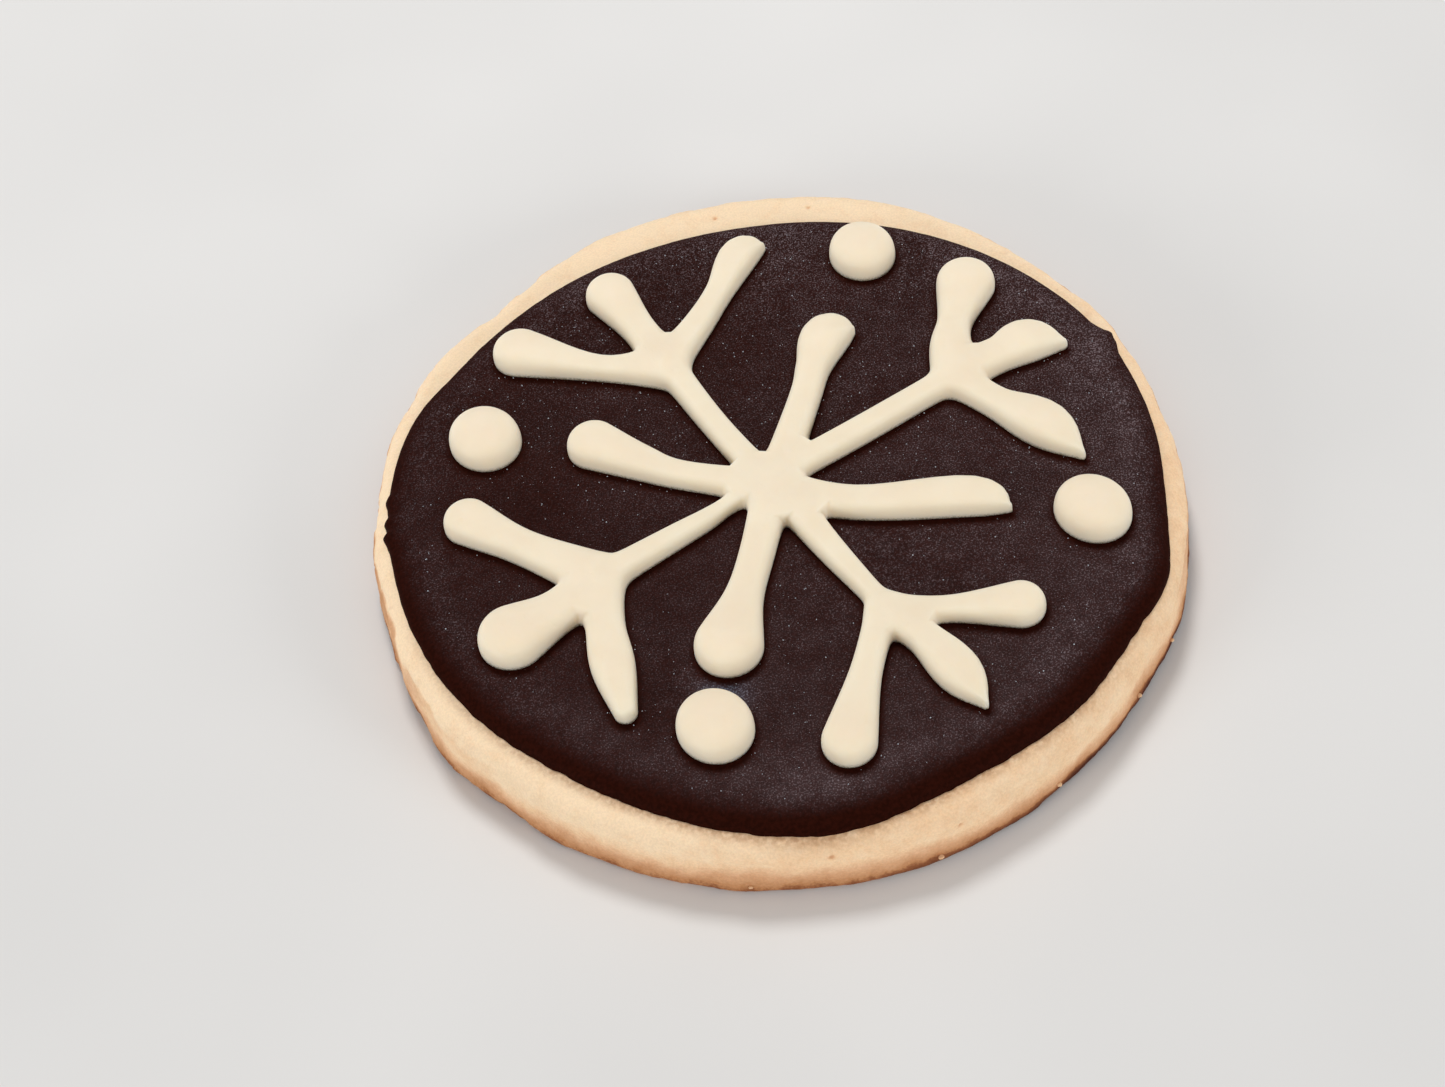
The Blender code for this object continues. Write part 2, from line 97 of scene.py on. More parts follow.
# Each piped line, as points (x, y, half-width) along its middle.
SNOWFLAKE_LINES = {
    "far_short_arm": (
        (0, -2.2, 1.9), (4.2, 9, 1.65), (5.55, 13.3, 1.85), (7.4, 17.4, 2.55), (10.2, 17.8, 0.3),
    ),
    "left_short_arm": ((0, -2.2, 1.8), (-9, 0.65, 1.5), (-13.2, 2.9, 1.95), (-17.9, 5.85, 2.8)),
    "near_short_arm": ((0, -2.2, 2), (-2.3, -10.2, 1.75), (-4, -15.4, 1.95), (-5.8, -20.7, 3.35)),
    "right_short_arm": ((0, -2.2, 1.8), (8, -5.25, 1.8), (19.5, -6.1, 2.15), (23, -8, 0.25)),
    "far_left_stem": ((0, -2.2, 1.5), (-5.1, 6.6, 1.4), (-9.6, 15.6, 1.6)),
    "far_left_outer": ((-10.3, 15.5, 2.45), (-17, 16.5, 1.45), (-25.5, 19.9, 2.9)),
    "far_left_middle": ((-10, 16.3, 2.1), (-12.6, 21.6, 1.85), (-15.4, 26.9, 2.75)),
    "far_left_inner": (
        (-9.5, 16.2, 2), (-6.1, 21.2, 1.6), (-3.6, 25.6, 1.5), (-0.9, 30.9, 2.1), (1.7, 31.7, 0.3),
    ),
    "far_right_stem": ((0, -1.2, 1.4), (4.8, 1.4, 1.5), (10, 4.2, 1.5), (19.5, 9.5, 1.45)),
    "far_right_inner": ((19.8, 9.9, 2.15), (20.1, 13.8, 2.2), (21.1, 17.6, 1.88), (22.95, 22.75, 3.15)),
    "far_right_middle": ((20.8, 10.4, 2.2), (25, 12.1, 2.05), (28.2, 13.5, 2.5), (31.9, 12.6, 0.3)),
    "far_right_outer": ((20.2, 9.2, 1.85), (23.9, 5.4, 1.75), (28.1, 1.9, 2.6), (31.2, -2.4, 0.25)),
    "near_right_stem": ((1, -3, 1.8), (4.75, -10.2, 1.45), (9.3, -17.9, 1)),
    "near_right_outer": ((9.9, -18.8, 1.65), (15.6, -19.2, 1.3), (22.2, -19.6, 2.4)),
    "near_right_middle": ((9.7, -18.9, 1.8), (12.65, -22.2, 1.7), (15.35, -26.4, 2.2), (17.3, -30.2, 0.3)),
    "near_right_inner": ((9, -18.8, 1.5), (6.7, -25.5, 1.55), (4.45, -32.55, 2.6)),
    "near_left_stem": (
        (-1, -1.4, 1.2), (-4.6, -3.8, 0.85), (-7, -5.4, 1.05), (-10, -7.05, 1.25),
        (-17.5, -11.2, 1.65),
    ),
    "near_left_outer": ((-18.5, -10.7, 2.5), (-25.4, -6.3, 1.85), (-30.9, -2.4, 2.55)),
    "near_left_middle": ((-18.5, -12.1, 2.3), (-22.5, -14.9, 2.35), (-26.5, -17.1, 3.42)),
    "near_left_inner": (
        (-17.8, -11.7, 2.2), (-17.5, -17, 1.95), (-16.95, -21.5, 2.15), (-15.95, -26.8, 1.15),
    ),
}

# Piped dots: centre x, y, radius, stretch along its longer way, and which way that is in degrees.
DOTS = {
    "dot_far": (12.5, 29.25, 3.6, 1.09, 100),
    "dot_left": (-29.25, 8.3, 3.68, 1.11, 122),
    "dot_near": (-7.7, -29.5, 3.6, 1.08, 120),
    "dot_right": (30.9, -9.3, 3.62, 1.1, 125),
}

# -------- finer shapes and colours

# Biscuit: the sides and rings of its fine surface, from under the base to the top beneath the icing.
FINE_SIDES = 1200
UNDERSIDE_INSETS = (0.6 * BISCUIT_RADIUS, 3)
BASE_TURNS = np.linspace(0, 90, 7)
WALL_STEP = 0.22
SHOULDER_TURNS = np.linspace(0, 90, 18)[1:]
RIM_DEPTH = 8.0
RIM_STEP = 0.25
HIDDEN_RINGS = (0.7, 0.35)

# Torn plates along the cut edge, and the width of the step between two. Tearing starts and is full where
# the surface faces outward by TORN_FACING.
PLATE_LENGTH = 3.4
PLATE_HEIGHT = 1.7
PLATE_DEPTH = 0.16
PLATE_STEP = 0.16
PLATE_SHARE = ((0, 0.35), (60, 0.3), (130, 0.8), (190, 1), (225, 0.6), (250, 0.25), (300, 0.25))
TORN_FACING = (0.15, 0.8)

# Crumb, of which the flat top has a share and the underside none. The torn wall lies RELIEF_SINK deeper,
# so that it stays inside the solid.
CRUMB_SIZE = 1.0
CRUMB_DEPTH = 0.05
CRUMB_ON_TOP = 0.35
FACING_DOWN = -0.9
RELIEF_SINK = 0.1

# Stain of the dough beside the dark icing, with painted shade of its rolled edge: its reach, and how near
# the viewer it starts and is full.
STAIN_AND_SHADE_REACH = 1.4
STAIN_AND_SHADE_NEAR = (0.1, 1)

# Browning, as (angle in degrees, value). It fades from the base up to the height PALE_FROM, and is at
# least RIM_BROWN everywhere.
PALE_FROM = (
    (0, 4.8), (60, 5.2), (135, 5.5), (180, 5.4), (210, 5.2), (240, 5.5), (270, 6.1), (300, 5),
    (325, 5.4),
)
RIM_BROWN = (
    (0, 0.22), (30, 0.12), (60, 0.03), (90, 0), (200, 0), (245, 0), (262, 0.17), (300, 0.18),
    (345, 0.22),
)

# The upright wall is browned by EDGE_BROWN, starting where the surface faces outward by SHARP_FROM, and by
# SOFTER_BEHIND less on the far side, along a wavering line.
EDGE_BROWN = (
    (0, 0.8), (30, 0.65), (90, 0.5), (140, 0.6), (180, 0.85), (205, 0.5), (225, 0.1), (325, 0.1),
    (345, 0.6),
)
SHARP_FROM = 0.86
SOFTER_BEHIND = 0.45
BROWN_WAVER = 0.07
BROWN_WAVER_SIZE = 3.0

# Dark foot of the wall, browning together with painted contact shade: rows of amounts, each fading out from
# FOOT_HEIGHT up to the height given with it.
FOOT_HEIGHT = 0.3
FOOT_BROWN_AND_SHADE = (
    (2, ((0, 0.15), (180, 0.12), (225, 0), (270, 0.06), (295, 0.25), (322, 0.45), (340, 0.2))),
    (1.8, ((0, 0.1), (180, 0.1), (240, 0), (270, 0), (295, 0.12), (322, 0.28), (345, 0.15))),
)
PLATE_BROWN = 0.06

# Holes in the dough, darker inside: x, y, z, radius, depth.
PINHOLES = (
    (-3.27, 39.07, 7, 0.24, 0.25), (7.37, 39.13, 7, 0.24, 0.25), (13.57, -40.2, 4.74, 0.2, 0.2),
    (1.67, -42.38, 5.09, 0.27, 0.15),
)
PINHOLE_DARKENING = 0.6

# Dark icing: how deep it sits in the biscuit, and its low swells.
DARK_SINK = 0.12
DARK_SWELL_SIZE = 9.0
DARK_SWELL_DEPTH = 0.05
DARK_SWELL_INSETS = (0.5, 5)

# Small waves of its edge, which grow towards the viewer.
RAGGED_SIZE = 1.2
RAGGED_DEPTH = 0.09
RAGGED_BEHIND = 0.25
RAGGED_NEAR = (0.1, 0.7)

# Torn points of its edge, as (angle, distance from the centre).
DARK_TEARS = (
    (
        (14.9, 39.15), (17.6, 39.35), (18.8, 39.68), (19.7, 40), (20.7, 40.1), (21.7, 40.34),
        (22.3, 39.95), (23.6, 39.6), (24.9, 39.38),
    ),
    (
        (174.9, 39.62), (175.6, 39.85), (176.2, 39.97), (177.5, 39.67), (179.1, 39.52), (180.2, 39.94),
        (181, 39.74), (181.9, 39.6), (182.7, 40), (184, 39.69), (185.5, 39.42), (188.5, 39.25),
    ),
)

# Its mesh: rings of the underside, turns up the rolled edge, and the spacing of points on top.
DARK_UNDERSIDE_INSETS = (BISCUIT_RADIUS * 0.5, 5, 1.2, 0)
DARK_TURNS = np.linspace(0, 90, 15)[1:]
DARK_PITCH = 0.36

# Frost of fine sugar and painted sheen on the dark icing: (angle, inset from the edge where it starts,
# where it is full).
FROST_AND_SHEEN_EDGE = (
    (0, -0.6, 3), (45, -0.6, 1.6), (90, -0.8, 1.4), (135, -0.6, 1.8), (180, 0.2, 3), (225, 0.6, 4.2),
    (270, 1, 4), (315, 1, 4.2),
)
# The level grows to the right, where the painted sheen is stronger, and the band is a painted sheen along
# the inner border of the rolled edge.
FROST_AND_SHEEN_LEVEL = 0.122
FROST_AND_SHEEN_TO_THE_RIGHT = 0.076
PAINTED_SHEEN_BAND = 0.05
PAINTED_SHEEN_BAND_WIDTH = 2.5

# How uneven the frost is, which grows towards the far side.
GRIT_LEVEL = 1.18
GRIT_TO_FAR = 0.42

# A painted shadow in front of the piped icing, where no frost or sheen shows: its shift to the viewer, and
# how far it reaches.
PAINTED_SHADOW_SHIFT = 0.5
PAINTED_SHADOW_REACH = 0.8

# Places where the frost and painted sheen are heavier or thinner: x, y, radius, amount. The heaviest is a
# painted bluish reflection.
REFLECTION_PLACE = (-6.6, -25.6)
REFLECTION_RADIUS = 2.4
FROST_AND_SHEEN_PATCHES = (
    (*REFLECTION_PLACE, REFLECTION_RADIUS, 0.55), (33.5, 13, 5.5, 0.13), (35, 2, 5, 0.09), (2, 33.5, 7, 0.12),
    (-20, 31, 5, 0.09), (1.5, -36, 6, 0.1), (27, 24.5, 5, 0.13), (-4, 17, 7, -0.04),
    (-24, -1, 7, -0.04), (13.5, 9, 3, -0.04), (-13, -28, 5, -0.03), (18, -13, 6, -0.02),
)

# White icing: how deep it sits in the dark icing, the least half-width that its rounding goes by, how high
# up its side a painted shade darkens its foot, and its low swells, which lie below the full height.
WHITE_SINK = 0.08
NARROWEST_ROUNDING = 1.0
WHITE_FOOT_SHADE = 0.45
WHITE_SWELL_SIZE = 4.5
WHITE_SWELL_DEPTH = 0.05
WHITE_SWELL_DROP = 1.5
WHITE_SWELL_INSETS = (0.1, 1.2)

# Its meshes: the cell that outlines are traced with, the turn that gets a point of its own, the shortest
# step as a share of the longest, the turns up the side, and how coarse and clear of the edge the rest is.
TRACE_CELL = 0.3
SHARPEST = np.radians(9)
SHORTEST_SHARE = 0.3
MERGE_DISTANCE = 1e-7
SIDE_TURNS = (3, 7, 12, 18, 25, 33, 42, 52, 62, 72)
UNDERSIDE_COARSER = 3
UNDERSIDE_CLEAR = 2
TOP_CLEAR = 0.4

# How full a cross-section is, the longest step along its outline, and the spacing of points on top.
Piping = namedtuple("Piping", "fullness longest pitch")
LINE_PIPING = Piping(3.2, 0.28, 0.5)
DOT_PIPING = Piping(3, 0.25, 0.4)

# Moving points to a field's level: the step that its slope is read over, the rounds and the least slope.
NUDGE = 1e-3
SETTLE_ROUNDS = 4
LEAST_SLOPE = 0.2

# Marks in the white icing: x, y, radius, and depth (a rise where it is below zero).
WHITE_MARKS = (
    (-21.5, 15.51, 0.22, 0.14), (11.67, 5.06, 0.3, 0.12), (5.59, 8.96, 0.22, 0.1),
    (25.08, 0.57, 0.25, 0.12), (27.8, 1.77, 0.2, 0.08), (-31.3, -3.4, 0.55, 0.16),
    (-30.9, -2.2, 0.75, -0.12), (-25.84, 6.46, 0.4, 0.12),
)

# Sugar grains on the dark icing: how many at most, and the smallest and largest. A place is kept where
# clusters with scatter pass a threshold, which falls towards the far side.
GRAIN_COUNT = 5200
GRAIN_TRIES = 4
GRAIN_SIZES = (0.06, 0.21)
GRAIN_CLUSTER = 7.0
GRAIN_SCATTER = 0.9
GRAIN_FROM = -0.1
GRAINS_TO_FAR = 0.6
GRAIN_CLEAR_OF_EDGE = 2.6
GRAIN_CLEAR_OF_WHITE = 0.15

# Most grains are small, and the bigger ones carry a brighter painted glint. Each is a squashed octahedron.
GRAIN_RARITY = 7
GLINT_BY_SIZE = 1.4
GLINT_SPREAD = (-0.1, 0.25)
GRAIN_SQUASH = (0.5, 1)
GRAIN_LIFT = 0.12

# Lumps that stick out of the wall: angle, height, size. Then their colour, sink, mesh, dents and half-axes.
LUMPS = (
    (285.8, 1.2, 0.42), (303.7, 1.6, 0.36), (321, 1.4, 0.34), (330.5, 1.8, 0.34), (262, 1.3, 0.28),
)
LUMP_BAKE = 0.42
LUMP_SINK = 0.12
LUMP_RINGS = 9
LUMP_SIDES = 14
DENT_DEPTH = 0.35
DENT_SIZE = 0.8
DENTS_APART = 3
LUMP_AXES = np.array([0.65, 0.65, 0.35])

SEED = 11
# fmt: on


# -------- curves and noise


def rounded_row(stations, closed):
    """Cubic curve through the stations, which are (place, value...) rows, as a function of place."""
    rows = np.array(stations, float)
    place = rows[:, 0]
    value = rows[:, 1:]
    if closed:
        place = np.concatenate([[place[-1] - 360], place, [place[0] + 360, place[1] + 360]])
        value = np.concatenate([value[-1:], value, value[:2]])
    slope = np.gradient(value, place, axis=0)

    def read(where):
        where = np.asarray(where, float)
        if closed:
            where = where % 360
        index = np.clip(np.searchsorted(place, where, side="right") - 1, 0, len(place) - 2)
        span = place[index + 1] - place[index]
        t = ((where - place[index]) / span)[..., None]
        start = (1 + 2 * t) * (1 - t) ** 2 * value[index]
        end = t**2 * (3 - 2 * t) * value[index + 1]
        bend_out = t * (1 - t) ** 2 * span[..., None] * slope[index]
        bend_in = t**2 * (t - 1) * span[..., None] * slope[index + 1]
        return start + end + bend_out + bend_in

    return read


def at_angle(stations, angle):
    """What a row of (angle in degrees, value) says at each angle round the cookie."""
    return rounded_row(stations, closed=True)(angle)[..., 0]


def angle_of(points):
    return np.degrees(np.arctan2(points[:, 1], points[:, 0]))


def angles_round(count):
    return np.arange(count) * 360 / count


def way_at(angle):
    """Unit vector in the direction of each angle, in degrees."""
    turn = np.radians(angle)
    return np.stack([np.cos(turn), np.sin(turn)], axis=-1)


def smooth_step(low, high, value):
    share = np.clip((value - low) / (high - low), 0, 1)
    return share * share * (3 - 2 * share)


TABLE_LENGTH = 4096
CELL_PRIMES = np.array([73856093, 19349663, 83492791])
PLATE_PRIMES = (131, 57)
PLATE_PLAY = 0.7


def swell(points, size, seed):
    """Smooth random value from -1 to 1 at each point, changing over about `size`."""
    table = np.random.default_rng(seed).uniform(-1, 1, TABLE_LENGTH)
    mixing = CELL_PRIMES[: points.shape[1]]
    cell = np.floor(points / size).astype(int)
    share = smooth_step(0, 1, points / size - cell)
    value = np.zeros(len(points))
    for corner in np.ndindex(*(2,) * points.shape[1]):
        weight = np.prod(np.where(corner, share, 1 - share), axis=1)
        value += weight * table[((cell + corner) * mixing).sum(axis=1) % TABLE_LENGTH]
    return value


def rough(points, size, seed, layers=3):
    return sum(swell(points, size / 2**layer, seed + layer) / 2**layer for layer in range(layers))


def plates(along, up, around, seed):
    """(random value of each point's plate, distance to its border) in a ring of uneven plates."""
    offsets = np.random.default_rng(seed).uniform(0, 1, (TABLE_LENGTH, 3))
    cell = np.floor(np.stack([along, up], axis=1)).astype(int)
    nearest = np.full(len(along), np.inf)
    second = np.full(len(along), np.inf)
    value = np.zeros(len(along))
    for step in np.ndindex(3, 3):
        near = cell + step - 1
        key = (near % (around, TABLE_LENGTH) * PLATE_PRIMES).sum(axis=1) % TABLE_LENGTH
        centre = near + (1 - PLATE_PLAY) / 2 + PLATE_PLAY * offsets[key, :2]
        gap = np.hypot(along - centre[:, 0], up - centre[:, 1])
        closer = gap < nearest
        second = np.where(closer, nearest, np.minimum(second, gap))
        value = np.where(closer, offsets[key, 2] * 2 - 1, value)
        nearest = np.where(closer, gap, nearest)
    return value, second - nearest


# -------- biscuit


def cut_radius(angle):
    return BISCUIT_RADIUS + at_angle(CUT_EDGE, angle)


def biscuit_top(points):
    """Height of the biscuit's upper face, which falls off over its rounded shoulder."""
    inset = cut_radius(angle_of(points)) - np.hypot(*points.T)
    over = np.clip((WALL_LEAN + SHOULDER_ROUNDING - inset) / SHOULDER_ROUNDING, 0, 1)
    return BISCUIT_THICKNESS - SHOULDER_ROUNDING * (1 - np.sqrt(1 - over**2))


def crags(angle, height):
    turn = np.radians(angle)
    depth = np.zeros_like(turn)
    for count, drift, phase, share in CRAG_WAVES:
        depth += CRAG_DEPTH * share * np.sin(count * turn + drift * height + phase)
    return depth


def solid_middle():
    """Where the drawing's origin lies in the frame: the solid biscuit's box is centred there."""
    angle = angles_round(SOLID_SIDES)
    outlines = []
    wall_top = BISCUIT_THICKNESS - SHOULDER_ROUNDING
    for share in SOLID_WALL_SHARES:
        height = BASE_ROUNDING + share * (wall_top - BASE_ROUNDING)
        radius = cut_radius(angle) - share * WALL_LEAN + crags(angle, height)
        outlines.append(way_at(angle) * radius[:, None])
    points = np.concatenate(outlines)
    middle = (points.min(axis=0) + points.max(axis=0)) / 2
    return np.array([*middle, 0])


def biscuit_rings():
    """(inset, height, how far it faces outward, how far it faces up) of each ring of the fine surface."""
    rings = [(inset, 0, 0, -1) for inset in UNDERSIDE_INSETS]
    for turn in np.radians(BASE_TURNS):
        inset = BASE_ROUNDING * (1 - np.sin(turn))
        rings.append((inset, BASE_ROUNDING * (1 - np.cos(turn)), np.sin(turn), -np.cos(turn)))
    wall_top = BISCUIT_THICKNESS - SHOULDER_ROUNDING
    for height in np.arange(BASE_ROUNDING + WALL_STEP, wall_top + WALL_STEP / 2, WALL_STEP):
        share = min((height - BASE_ROUNDING) / (wall_top - BASE_ROUNDING), 1)
        rings.append((share * WALL_LEAN, min(height, wall_top), 1, 0))
    for turn in np.radians(SHOULDER_TURNS):
        inset = WALL_LEAN + SHOULDER_ROUNDING * (1 - np.cos(turn))
        rings.append((inset, wall_top + SHOULDER_ROUNDING * np.sin(turn), np.cos(turn), np.sin(turn)))
    rim = np.arange(WALL_LEAN + SHOULDER_ROUNDING + RIM_STEP, RIM_DEPTH, RIM_STEP)
    rings.extend((inset, BISCUIT_THICKNESS, 0, 1) for inset in rim)
    rings.extend((BISCUIT_RADIUS * (1 - share), BISCUIT_THICKNESS, 0, 1) for share in HIDDEN_RINGS)
    return np.array(rings)


def ring_faces(ring_count, side_count):
    """Faces between rings that follow one another, each of side_count points."""
    faces = []
    for low in range(0, (ring_count - 1) * side_count, side_count):
        for side in range(side_count):
            after = (side + 1) % side_count
            faces.append((low + side, low + after, low + side_count + after, low + side_count + side))
    return faces


def fan(start, side_count, centre):
    """Faces from the ring that begins at point `start` to a centre under it."""
    return [(centre, start + (side + 1) % side_count, start + side) for side in range(side_count)]


def turned_over(faces):
    """The same faces seen from their other side."""
    return [(face[0], *face[:0:-1]) for face in faces]


def biscuit_mesh():
    """The biscuit's shape, which is torn only as far as its surface faces outward."""
    rings = biscuit_rings()
    angle = angles_round(FINE_SIDES)
    inset, height, outward, upward = np.repeat(rings.T, FINE_SIDES, axis=1)
    turn = np.radians(np.tile(angle, len(rings)))
    across = np.tile(way_at(angle), (len(rings), 1))
    radius = np.tile(cut_radius(angle), len(rings)) - inset
    smooth = np.column_stack([across * radius[:, None], height])
    relief = outward * crags(np.degrees(turn), height)
    around = round(2 * np.pi * BISCUIT_RADIUS / PLATE_LENGTH)
    value, border = plates(turn / (2 * np.pi) * around, height / PLATE_HEIGHT, around, SEED)
    torn = smooth_step(*TORN_FACING, outward)
    plate = torn * at_angle(PLATE_SHARE, np.degrees(turn)) * value
    relief += PLATE_DEPTH * plate * smooth_step(0, PLATE_STEP, border)
    crumb = CRUMB_DEPTH * rough(smooth, CRUMB_SIZE, SEED + 1) * (upward > FACING_DOWN)
    relief += crumb * (CRUMB_ON_TOP + (1 - CRUMB_ON_TOP) * torn)
    relief -= RELIEF_SINK * torn
    pitted = np.zeros_like(relief)
    for *centre, hole_radius, depth in PINHOLES:
        gap = np.linalg.norm(smooth - centre, axis=1)
        hole = np.exp(-((gap / hole_radius) ** 2))
        relief -= depth * hole
        pitted = np.maximum(pitted, hole)
    wavering = outward + BROWN_WAVER * rough(smooth, BROWN_WAVER_SIZE, SEED + 2) * (outward > 0)
    soft_from = SHARP_FROM - SOFTER_BEHIND * np.maximum(np.sin(turn), 0)
    marks = (smooth_step(soft_from, 1.0, wavering), plate, pitted)

    radius = radius + outward * relief
    height = height + upward * relief
    points = np.column_stack([across * radius[:, None], height])
    faces = ring_faces(len(rings), FINE_SIDES) + fan(0, FINE_SIDES, len(points))
    faces += turned_over(fan(len(points) - FINE_SIDES, FINE_SIDES, len(points) + 1))
    points = np.concatenate([points, [(0, 0, 0), (0, 0, BISCUIT_THICKNESS)]])
    points[:, 2] = np.maximum(points[:, 2], 0)
    bake = browning(points, *(np.append(row, (0, 0)) for row in marks))
    return points, faces, {"bake": bake, "stain_and_shade": staining_and_shade(points)}


def browning(points, steep, plate, pitted):
    """How far each point of the biscuit is browned: 0 is pale dough, and above 1 it is scorched."""
    angle = angle_of(points)
    height = points[:, 2]
    bake = 1 - smooth_step(0, at_angle(PALE_FROM, angle), height)
    for least in (at_angle(EDGE_BROWN, angle) * steep, at_angle(RIM_BROWN, angle)):
        bake = np.maximum(bake, least)
    bake += PLATE_BROWN * plate + PINHOLE_DARKENING * pitted
    # The dark foot is browning and painted contact shade together.
    for fade_height, amounts in FOOT_BROWN_AND_SHADE:
        bake += at_angle(amounts, angle) * (1 - smooth_step(FOOT_HEIGHT, fade_height, height))
    return bake


def staining_and_shade(points):
    """How far each point of the biscuit is stained and painted with the rolled edge's shade beside the dark
    icing.
    """
    near = smooth_step(*STAIN_AND_SHADE_NEAR, -np.sin(np.radians(angle_of(points))))
    return near * (1 - smooth_step(0, STAIN_AND_SHADE_REACH, -dark_inside(points[:, :2])))


# -------- dark icing


def dark_radius(angle):
    """Distance of the flooded edge from the centre, with its torn points."""
    angle = angle % 360
    edge = at_angle(DARK_EDGE, angle)
    for tear in DARK_TEARS:
        turns, reaches = np.array(tear).T
        ends = turns[[0, -1]]
        drift = np.interp(angle, ends, reaches[[0, -1]] - at_angle(DARK_EDGE, ends))
        inside = (angle > ends[0]) & (angle < ends[1])
        edge = np.where(inside, np.interp(angle, turns, reaches) - drift, edge)
    return edge


def ragged(angle):
    """Small waves of the edge, strongest on the near side."""
    place = way_at(angle)
    near = RAGGED_BEHIND + (1 - RAGGED_BEHIND) * smooth_step(*RAGGED_NEAR, -place[:, 1])
    return RAGGED_DEPTH * near * rough(place * BISCUIT_RADIUS, RAGGED_SIZE, SEED + 5, 2)


def dark_inside(points):
    return dark_radius(angle_of(points)) - np.hypot(*points.T)


def dome(inside, width, power):
    """Height share of a rounded form: 0 at its edge and 1 from its middle on."""
    share = np.clip(inside / width, 0, 1)
    return (1 - (1 - share) ** power) ** (1 / power)


def dark_waves(points):
    share = smooth_step(*DARK_SWELL_INSETS, dark_inside(points))
    return DARK_SWELL_DEPTH * swell(points, DARK_SWELL_SIZE, SEED + 7) * share


def dark_top(points):
    rise = DARK_THICKNESS * dome(dark_inside(points), DARK_ROLL_WIDTH, DARK_ROLL_POWER)
    return biscuit_top(points) + rise + dark_waves(points)


def dark_mesh():
    """The dark icing's shape: an underside, a rolled edge and the flooded top."""
    angle = angles_round(FINE_SIDES)
    edge = dark_radius(angle) + ragged(angle)
    across = way_at(angle)
    rings = []
    for inset in DARK_UNDERSIDE_INSETS:
        place = across * (edge - inset)[:, None]
        rings.append(np.column_stack([place, biscuit_top(place) - DARK_SINK]))
    for turned in np.radians(DARK_TURNS):
        inset = DARK_ROLL_WIDTH * (1 - np.cos(turned) ** (2 / DARK_ROLL_POWER))
        place = across * (edge - inset)[:, None]
        rise = (DARK_THICKNESS + DARK_SINK) * dome(inset, DARK_ROLL_WIDTH, DARK_ROLL_POWER)
        rings.append(np.column_stack([place, biscuit_top(place) - DARK_SINK + rise + dark_waves(place)]))
    clear = DARK_ROLL_WIDTH + DARK_PITCH
    reach = np.full(2, BISCUIT_RADIUS)
    inner = lattice(lambda spots: [dark_inside(spots)], -reach, reach, DARK_PITCH, clear)
    last = (len(rings) - 1) * FINE_SIDES
    flat, flat_faces = cap(rings[-1][:, :2], last, inner, last + FINE_SIDES)
    points = np.concatenate([*rings, np.column_stack([flat, dark_top(flat)])])
    faces = ring_faces(len(rings), FINE_SIDES) + fan(0, FINE_SIDES, len(points)) + flat_faces
    points = np.concatenate([points, [(0, 0, BISCUIT_THICKNESS - DARK_SINK)]])
    # A painted bluish reflection between two piped forms.
    painted_reflection = np.exp(-(((points[:, :2] - REFLECTION_PLACE) ** 2).sum(axis=1) / REFLECTION_RADIUS**2))
    grit = GRIT_LEVEL + GRIT_TO_FAR * points[:, 1] / BISCUIT_RADIUS
    return points, faces, {"frost_and_sheen": frost_and_sheen(points[:, :2]), "painted_reflection": painted_reflection, "grit": grit}


def frost_and_sheen(points):
    """How much fine sugar and painted sheen shows at each place, from 0 to 1."""
    inside = dark_inside(points)
    start, full = rounded_row(FROST_AND_SHEEN_EDGE, closed=True)(angle_of(points)).T
    amount = FROST_AND_SHEEN_LEVEL + FROST_AND_SHEEN_TO_THE_RIGHT * points[:, 0] / BISCUIT_RADIUS
    amount += PAINTED_SHEEN_BAND * np.exp(-(((inside - full) / PAINTED_SHEEN_BAND_WIDTH) ** 2))
    for x, y, radius, extra in FROST_AND_SHEEN_PATCHES:
        amount += extra * np.exp(-(((points - (x, y)) ** 2).sum(axis=1) / radius**2))
    # Painted shadow: the frost and sheen are taken away in a strip just in front of the piped icing.
    outside_painted_shadow = smooth_step(0, PAINTED_SHADOW_REACH, -white_inside(points + (0.0, PAINTED_SHADOW_SHIFT)))
    return np.clip(amount * smooth_step(start, full, inside) * outside_painted_shadow, 0, 1)


# -------- white icing


def line_field(points, line):
    """(distance inside the line's edge, half-width there) of each point, for one piped line."""
    stations = [(place, *row) for place, row in enumerate(line)]
    read = rounded_row(stations, closed=False)
    rows = read(np.linspace(0, len(line) - 1, (len(line) - 1) * CURVE_STEPS + 1))
    inside = np.full(len(points), -np.inf)
    width = np.zeros(len(points))
    for start, end in zip(rows[:-1], rows[1:]):
        run = end[:2] - start[:2]
        length = np.hypot(*run)
        along = (points - start[:2]) @ run / length
        across = np.abs((points - start[:2]) @ (-run[1], run[0])) / length
        taper = np.clip((end[2] - start[2]) / length, -STEEPEST_TAPER, STEEPEST_TAPER)
        share = np.clip((along + across * taper / np.sqrt(1 - taper**2)) / length, 0, 1)
        half = start[2] + share * (end[2] - start[2])
        gap = np.hypot(*(points - start[:2] - share[:, None] * run).T)
        better = half - gap > inside
        inside = np.where(better, half - gap, inside)
        width = np.where(better, half, width)
    return inside, width


def blend(parts, web):
    """Joins fields so that icing runs together into a small web where two lines meet."""
    inside = np.array([part[0] for part in parts])
    width = np.array([part[1] for part in parts])
    top = inside.max(axis=0)
    share = np.exp((inside - top) / web)
    return top + web * np.log(share.sum(axis=0)), (share * width).sum(axis=0) / share.sum(axis=0)


def snowflake_field(points):
    return blend([line_field(points, line) for line in SNOWFLAKE_LINES.values()], WEB_RADIUS)


